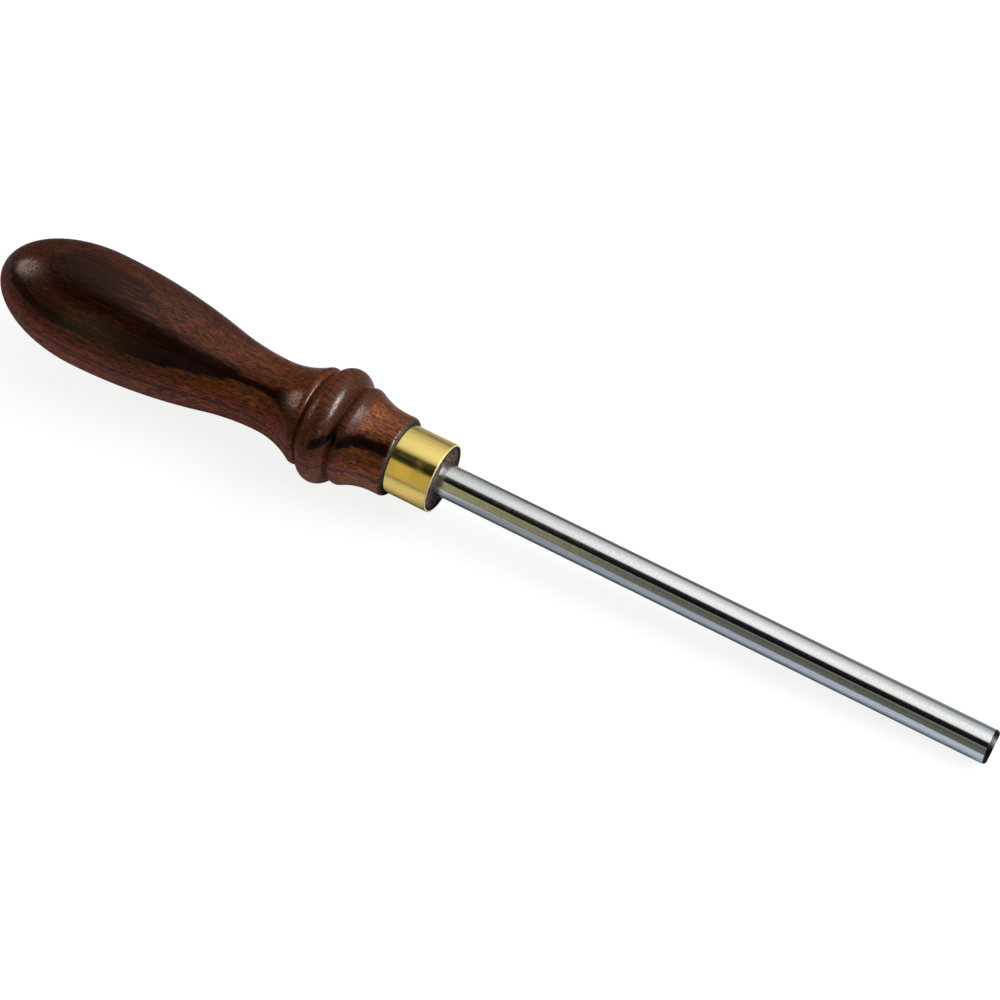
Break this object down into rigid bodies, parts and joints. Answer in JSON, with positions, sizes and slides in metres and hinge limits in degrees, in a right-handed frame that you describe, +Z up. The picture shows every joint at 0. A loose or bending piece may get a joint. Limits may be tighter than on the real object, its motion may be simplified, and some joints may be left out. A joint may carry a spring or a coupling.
{
  "type": "scraper burnisher",
  "caption": "Hand burnisher for cabinet scrapers: a polished round steel rod set in a turned hardwood handle with a beaded collar and a brass ferrule.",
  "frame": {"origin": "on the tool's axis, at the face of the handle's lip, where the ferrule starts and a rack's hole stops", "axes": "+X along the rod towards its tip, +Y across the tool, +Z up"},
  "size_m": [0.2576, 0.0292, 0.0292],
  "materials": {
    "hardwood": "satin lacquer",
    "brass": "polished",
    "tool_steel": "ground and polished"
  },
  "bodies": {
    "root": {"handle": "hardwood", "ferrule": "brass", "rod": "tool_steel"}
  },
  "joints": []
}
